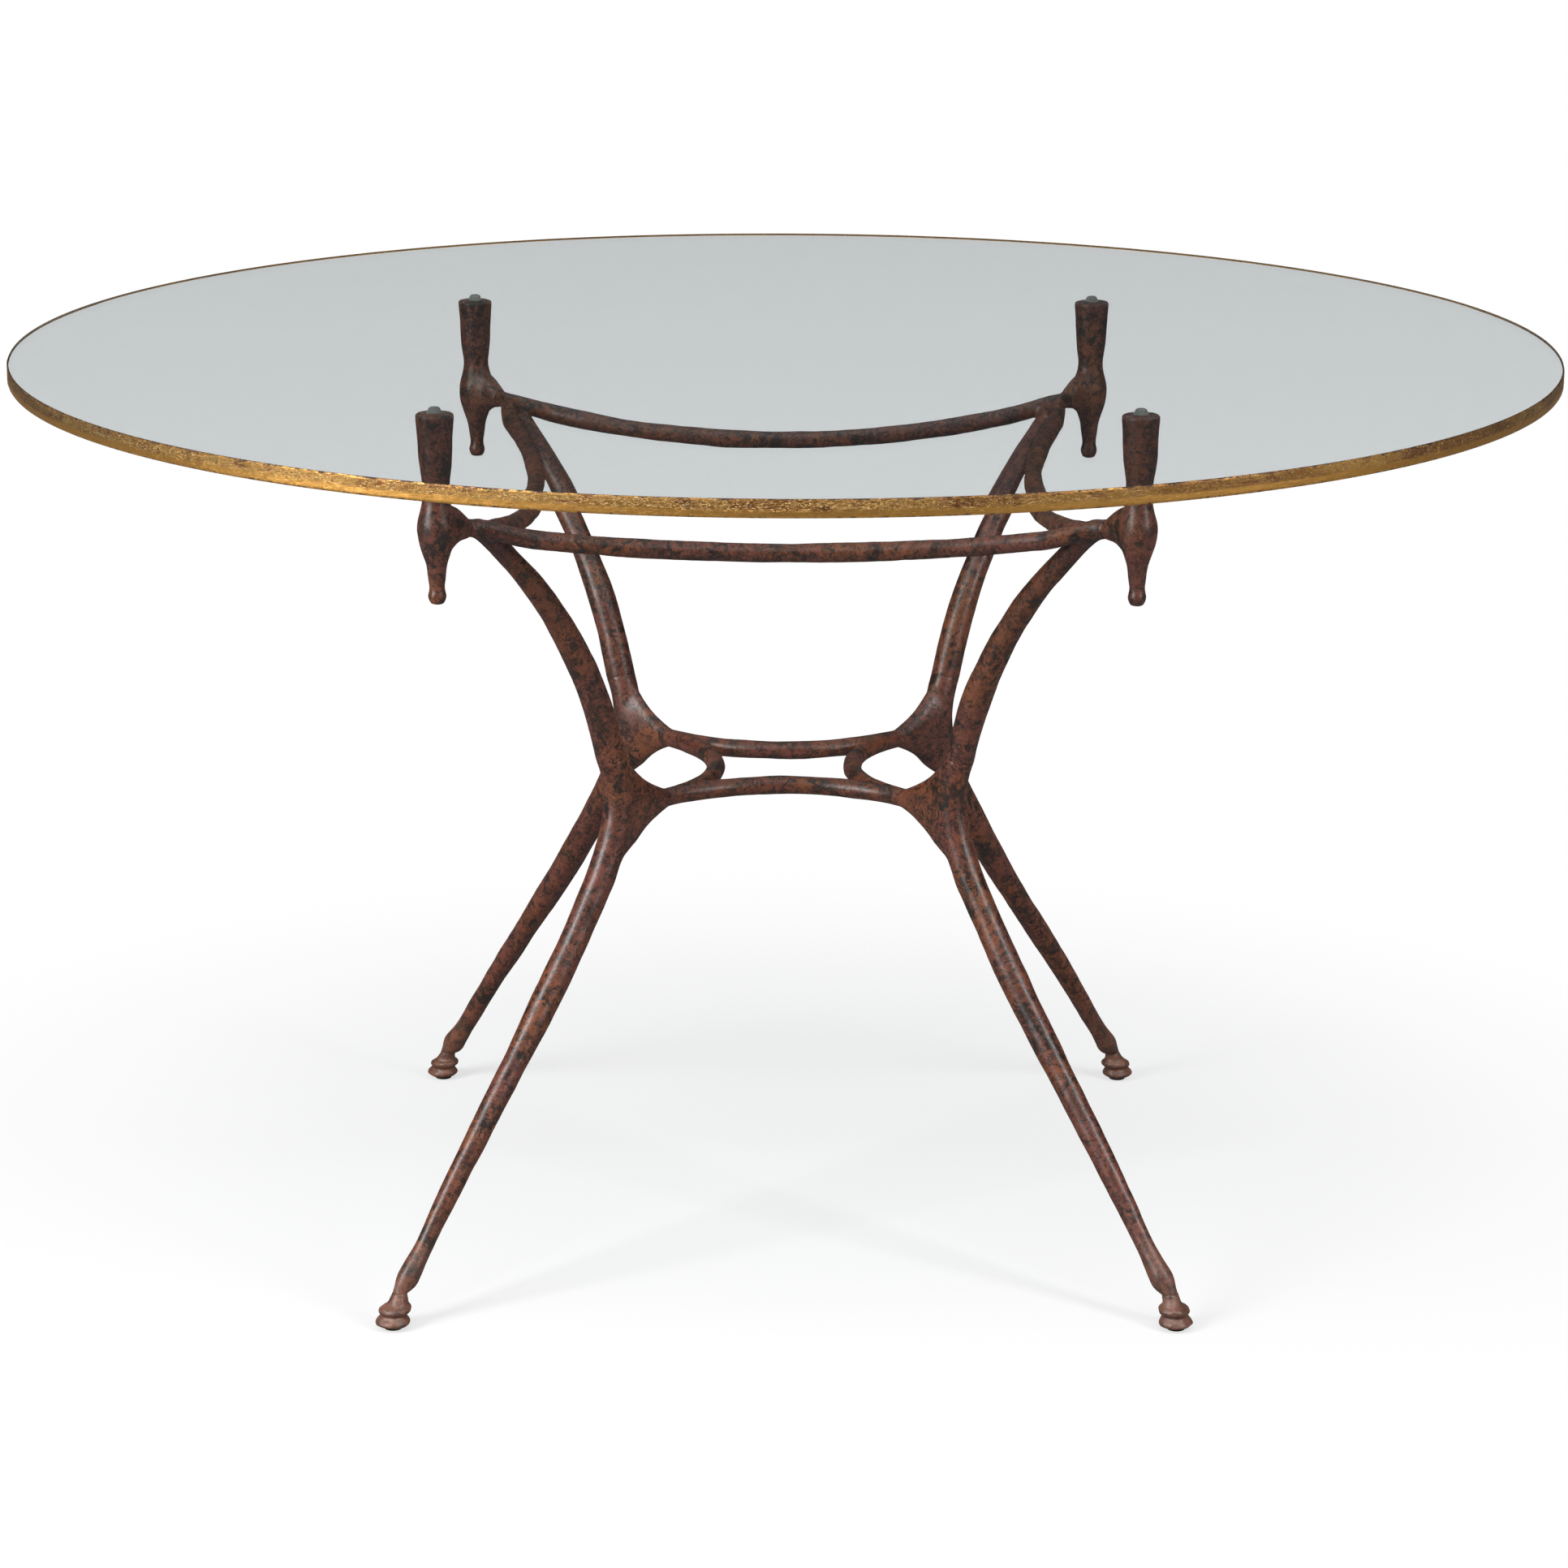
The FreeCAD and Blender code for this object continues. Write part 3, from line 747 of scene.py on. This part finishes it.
GLASS_TINT = (0.900, 0.927, 0.934, 1.0)
GLASS_SHADE = (0.74, 0.79, 0.78, 1.0)
GLASS_IOR = 1.52
METAL_IOR = 1.62
PLASTIC_IOR = 1.45


# Materials

def strokes(tree, where, scale, width, cover):
    """Broken, curly dark lines: level lines of a rough noise, kept only in patches."""
    line = grain(tree, where, scale, detail=3.0, roughness=0.58, distortion=1.3)
    line = calc(tree, "ABSOLUTE", calc(tree, "SUBTRACT", line, 0.5))
    line = between(tree, line, width * 0.35, width, 1.0, 0.0)
    patch = grain(tree, where, scale * 0.62, detail=4.0, roughness=0.62)
    return calc(tree, "MULTIPLY", line, between(tree, patch, 0.52 - cover, 0.58 - cover))


def patina_material():
    """Red-brown patina with ragged dark clouds, curly dark strokes, orange flecks and some dust."""
    material, tree = new_material("patinated_metal")
    where = object_place(tree)

    hue = grain(tree, where, scale=13.0, detail=5.0, roughness=0.6)
    colour = blend_colour(tree, between(tree, hue, 0.42, 0.60), RED_BROWN, WARM_BROWN)
    tone = grain(tree, where, scale=75.0, detail=8.0, roughness=0.70, distortion=0.3)
    colour = blend_colour(tree, between(tree, tone, 0.44, 0.64, 0.0, 0.78), colour, DEEP_BROWN)
    speck = grain(tree, where, scale=330.0, detail=5.0, roughness=0.75, distortion=0.3)
    colour = blend_colour(tree, between(tree, speck, 0.54, 0.64, 0.0, 0.5), colour, ORANGE_FLECK)
    colour = blend_colour(tree, between(tree, speck, 0.34, 0.44, 0.7, 0.0), colour, DARK_SPECK)

    cloud = grain(tree, where, scale=38.0, detail=12.0, roughness=0.70, distortion=0.5)
    cloud = between(tree, cloud, 0.565, 0.595)
    small = grain(tree, where, scale=95.0, detail=9.0, roughness=0.70, distortion=0.5)
    small = between(tree, small, 0.555, 0.59, 0.0, 0.9)
    dark = calc(tree, "MAXIMUM", cloud, small)
    dark = calc(tree, "MULTIPLY", dark, between(tree, speck, 0.52, 0.66, 0.9, 0.5))
    colour = blend_colour(tree, dark, colour, DARK_CLOUD)
    coarse = strokes(tree, where, 65.0, 0.030, 0.06)
    fine = strokes(tree, where, 140.0, 0.040, 0.05)
    mark = calc(tree, "MAXIMUM", coarse, calc(tree, "MULTIPLY", fine, 0.9))
    colour = blend_colour(tree, calc(tree, "MULTIPLY", mark, 0.92), colour, DARK_STROKE)

    place = put(tree, "ShaderNodeSeparateXYZ", {"Vector": where})
    dust = between(tree, place.outputs["Z"], 0.01, 0.11, 0.6, 0.0)
    dust = calc(tree, "MULTIPLY", dust, between(tree, tone, 0.3, 0.6, 1.0, 0.4))
    colour = blend_colour(tree, dust, colour, DUST)

    rough = between(tree, dark, 0.0, 1.0, 0.38, 0.32)
    rough = calc(tree, "ADD", rough, calc(tree, "MULTIPLY", mark, 0.05))
    rough = calc(tree, "ADD", rough, calc(tree, "MULTIPLY", dust, 0.25))
    facing = put(tree, "ShaderNodeLayerWeight", {"Blend": 0.5}).outputs["Facing"]
    rough = calc(tree, "ADD", rough, between(tree, facing, 0.5, 0.85, 0.0, 0.5))

    pitting = grain(tree, where, scale=520.0, detail=4.0, roughness=0.65)
    rolling = grain(tree, where, scale=110.0, detail=5.0, roughness=0.6)
    height = calc(tree, "MULTIPLY", pitting, 0.2)
    height = calc(tree, "ADD", height, calc(tree, "MULTIPLY", rolling, 0.4))
    height = calc(tree, "SUBTRACT", height, calc(tree, "MULTIPLY", mark, 0.10))
    bump = put(tree, "ShaderNodeBump", {"Strength": 0.3, "Distance": 0.001, "Height": height})

    inputs = {
        "Base Color": colour,
        "Roughness": rough,
        "IOR": METAL_IOR,
        "Normal": bump.outputs["Normal"],
    }
    show_principled(tree, inputs)
    return material


def glass_material():
    """Clear glass with its mirroring calmed. Shadow and diffuse rays go straight through, tinted."""
    material, tree = new_material("glass")
    inputs = {
        "Base Color": GLASS_TINT,
        "Roughness": 0.0,
        "IOR": GLASS_IOR,
        "Transmission Weight": 1.0,
    }
    full = put(tree, "ShaderNodeBsdfPrincipled", inputs).outputs["BSDF"]
    inputs = {"Color": GLASS_TINT, "Roughness": 0.0, "IOR": GLASS_IOR}
    bare = put(tree, "ShaderNodeBsdfRefraction", inputs).outputs["BSDF"]
    calm = mix_shaders(tree, 0.5, full, bare)
    path = put(tree, "ShaderNodeLightPath")
    plain = calc(tree, "MAXIMUM", path.outputs["Is Shadow Ray"], path.outputs["Is Diffuse Ray"])
    clear = put(tree, "ShaderNodeBsdfTransparent", {"Color": GLASS_SHADE}).outputs["BSDF"]
    show(tree, mix_shaders(tree, plain, calm, clear))
    return material


def gilding_material():
    """Gold leaf: smooth ochre below, streaked and flecked above with brown and with painted glints, worn
    to dark ground at its rims.
    """
    material, tree = new_material("gilding")
    where = object_place(tree)
    low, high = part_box("gilded_edge")
    place = put(tree, "ShaderNodeSeparateXYZ", {"Vector": where})
    level = between(tree, place.outputs["Z"], low.z, high.z)
    flat = put(tree, "ShaderNodeVectorMath", {0: where, 1: (1.0, 1.0, 3.2)}, operation="MULTIPLY")
    flat = flat.outputs["Vector"]

    tone = grain(tree, where, scale=9.0, detail=4.0, roughness=0.6)
    colour = blend_colour(tree, between(tree, tone, 0.38, 0.62), GOLD, DULL_GOLD)
    colour = blend_colour(tree, between(tree, level, 0.24, 0.46, 0.85, 0.0), colour, OCHRE)

    wander = calc(tree, "MULTIPLY", calc(tree, "SUBTRACT", tone, 0.5), 0.5)
    upper = between(tree, calc(tree, "ADD", level, wander), 0.22, 0.55, 0.2, 1.0)
    streak = grain(tree, flat, scale=42.0, detail=10.0, roughness=0.74, distortion=0.6)
    streak = calc(tree, "MULTIPLY", between(tree, streak, 0.47, 0.60), upper)
    colour = blend_colour(tree, calc(tree, "MULTIPLY", streak, 0.8), colour, BROWN_STREAK)
    crumb = grain(tree, flat, scale=190.0, detail=6.0, roughness=0.75, distortion=0.6)
    crumb = calc(tree, "MULTIPLY", between(tree, crumb, 0.53, 0.62), upper)
    colour = blend_colour(tree, calc(tree, "MULTIPLY", crumb, 0.7), colour, BROWN_CRUMB)
    # Bright flecks on the upper half are painted glints: light caught by the leaf, painted into its
    # colour; the same mask also raises the bump
    painted_glint = grain(tree, flat, scale=430.0, detail=4.0, roughness=0.7, distortion=1.2)
    painted_glint = calc(tree, "MULTIPLY", between(tree, painted_glint, 0.55, 0.62), upper)
    colour = blend_colour(tree, calc(tree, "MULTIPLY", painted_glint, 0.85), colour, PAINTED_GLINT)

    rim = calc(tree, "ABSOLUTE", calc(tree, "SUBTRACT", level, 0.5))
    ragged = grain(tree, where, scale=130.0, detail=8.0, roughness=0.75)
    rim = calc(tree, "ADD", rim, calc(tree, "MULTIPLY", calc(tree, "SUBTRACT", ragged, 0.5), 0.30))
    worn = between(tree, rim, 0.485, 0.515)
    colour = blend_colour(tree, calc(tree, "MULTIPLY", worn, 0.9), colour, DARK_GROUND)

    height = calc(tree, "ADD", calc(tree, "MULTIPLY", painted_glint, 0.5), calc(tree, "MULTIPLY", crumb, -0.4))
    height = calc(tree, "ADD", height, calc(tree, "MULTIPLY", streak, -0.4))
    bump = put(tree, "ShaderNodeBump", {"Strength": 0.6, "Distance": 0.0005, "Height": height})
    matt = calc(tree, "MAXIMUM", worn, calc(tree, "MULTIPLY", crumb, 0.6))
    inputs = {
        "Base Color": colour,
        "Metallic": between(tree, matt, 0.0, 1.0, 0.9, 0.2),
        "Roughness": between(tree, matt, 0.0, 1.0, 0.32, 0.6),
        "Normal": bump.outputs["Normal"],
    }
    show_principled(tree, inputs)
    return material


def bumper_material():
    """Clear soft plastic, slightly milky."""
    material, tree = new_material("clear_bumper")
    haze = grain(tree, object_place(tree), scale=300.0, detail=3.0)
    inputs = {
        "Base Color": blend_colour(tree, haze, MILKY, CLOUDY),
        "Roughness": between(tree, haze, 0.3, 0.7, 0.03, 0.09),
        "IOR": PLASTIC_IOR,
        "Transmission Weight": 0.7,
    }
    show_principled(tree, inputs)
    return material


def glide_material():
    """Black plastic, scuffed."""
    material, tree = new_material("black_glide")
    scuff = grain(tree, object_place(tree), scale=500.0, detail=4.0, roughness=0.6)
    bump = put(tree, "ShaderNodeBump", {"Strength": 0.3, "Distance": 0.0003, "Height": scuff})
    inputs = {
        "Base Color": blend_colour(tree, between(tree, scuff, 0.5, 0.8), BLACK, SCUFFED),
        "Roughness": between(tree, scuff, 0.3, 0.7, 0.5, 0.75),
        "Normal": bump.outputs["Normal"],
    }
    show_principled(tree, inputs)
    return material


# Studio

def floor_material():
    """White floor that keeps a soft share of the shadows on it, and throws little light back up."""
    material, tree = new_material("floor")
    path = put(tree, "ShaderNodeLightPath")
    seen = calc(tree, "MAXIMUM", path.outputs["Is Camera Ray"], path.outputs["Is Transmission Ray"])
    pale = blend_colour(tree, seen, grey(0.2), grey(0.9))
    mirrored = calc(tree, "MULTIPLY", path.outputs["Is Glossy Ray"], 0.08)
    seen = calc(tree, "MAXIMUM", seen, mirrored)
    diffuse = put(tree, "ShaderNodeBsdfDiffuse", {"Color": pale}).outputs["BSDF"]
    away = put(tree, "ShaderNodeVectorMath", {0: object_place(tree)}, operation="LENGTH")
    spread = between(tree, away.outputs["Value"], 0.25, 1.1, 0.60, 1.0)
    white = put(tree, "ShaderNodeEmission", {"Color": (1.0, 1.0, 1.0, 1.0), "Strength": 1.0})
    share = calc(tree, "MULTIPLY", seen, spread)
    show(tree, mix_shaders(tree, share, diffuse, white.outputs["Emission"]))
    return material


def build_world():
    """White behind the object, a darker studio overhead in reflections, plain grey light elsewhere."""
    world = bpy.data.worlds.new("studio")
    world.use_nodes = True
    tree = world.node_tree
    tree.nodes.clear()
    path = put(tree, "ShaderNodeLightPath")
    toward = put(tree, "ShaderNodeTexCoord").outputs["Generated"]
    up = put(tree, "ShaderNodeSeparateXYZ", {"Vector": toward}).outputs["Z"]
    overhead = between(tree, up, 0.02, 0.14)
    mirrored = blend_colour(tree, overhead, grey(0.14), grey(0.02))
    through = blend_colour(tree, overhead, grey(1.0), grey(0.03))
    through = blend_colour(tree, between(tree, up, 0.45, 0.7), through, grey(0.6))
    colour = blend_colour(tree, path.outputs["Is Glossy Ray"], grey(0.19), mirrored)
    colour = blend_colour(tree, path.outputs["Is Transmission Ray"], colour, through)
    colour = blend_colour(tree, path.outputs["Is Camera Ray"], colour, grey(1.0))
    back = put(tree, "ShaderNodeBackground", {"Color": colour, "Strength": 1.0})
    put(tree, "ShaderNodeOutputWorld", {"Surface": back.outputs["Background"]})
    scene.world = world


def area_light(name, azimuth, elevation, width, height, power):
    """Softbox aimed at the middle of the table; azimuth 0 is in front, 90 on the right."""
    light = bpy.data.lights.new(name, "AREA")
    light.shape = "RECTANGLE"
    light.size = width
    light.size_y = height
    light.energy = power
    obj = bpy.data.objects.new(name, light)
    a = math.radians(azimuth)
    e = math.radians(elevation)
    away = Vector((math.sin(a) * math.cos(e), -math.cos(a) * math.cos(e), math.sin(e)))
    obj.location = Vector(LAMP_AIM) + away * LAMP_DISTANCE
    obj.rotation_mode = "QUATERNION"
    obj.rotation_quaternion = (-away).to_track_quat("-Z", "Y")
    scene.collection.objects.link(obj)
    return obj


def build_studio(glass):
    """Floor, world and lamps. The lamps leave the glass out, so it mirrors no hard rectangle."""
    half = 25.0
    level = -0.0001
    mesh = bpy.data.meshes.new("floor")
    corners = [(-half, -half, level), (half, -half, level), (half, half, level), (-half, half, level)]
    mesh.from_pydata(corners, [], [(0, 1, 2, 3)])
    mesh.materials.append(floor_material())
    floor = bpy.data.objects.new("floor", mesh)
    scene.collection.objects.link(floor)
    build_world()
    spared = bpy.data.collections.new("spared")
    spared.objects.link(glass)
    spared.collection_objects[0].light_linking.link_state = "EXCLUDE"
    for name, values in LAMPS.items():
        area_light(name, *values).light_linking.receiver_collection = spared


def build_camera():
    """Camera at the photograph's place: 3.9 m in front, 1.42 m up, looking down 15 degrees."""
    turn = 0.0074
    pitch = 0.2624
    roll = -0.0037
    distance = 3.899
    height = 1.4233
    ahead = Vector((math.sin(turn), math.cos(turn), 0.0))
    level = Vector((math.cos(turn), -math.sin(turn), 0.0))
    up = Vector((0.0, 0.0, 1.0))
    forward = ahead * math.cos(pitch) - up * math.sin(pitch)
    below = -ahead * math.sin(pitch) - up * math.cos(pitch)
    right = level * math.cos(roll) + below * math.sin(roll)
    down = below * math.cos(roll) - level * math.sin(roll)
    data = bpy.data.cameras.new("camera")
    data.sensor_width = 36.0
    data.lens = 107.0
    camera = bpy.data.objects.new("camera", data)
    axes = Matrix((right, -down, -forward)).transposed().to_4x4()
    place = up * height - ahead * distance
    camera.matrix_world = Matrix.Translation(place) @ axes
    scene.collection.objects.link(camera)
    scene.camera = camera


metal = patina_material()
build_limbs(metal)
disc = build_glass(glass_material())
build_gilding(gilding_material())
clear = bumper_material()
black = glide_material()
for corner_name in CORNERS:
    build_post(corner_name, metal)
    build_foot(corner_name, metal)
    build_bumper(corner_name, clear)
    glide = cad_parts[f"{corner_name}_glide"]
    glide.data.materials.clear()
    glide.data.materials.append(black)
build_studio(disc)
build_camera()
scene.view_settings.view_transform = "Standard"
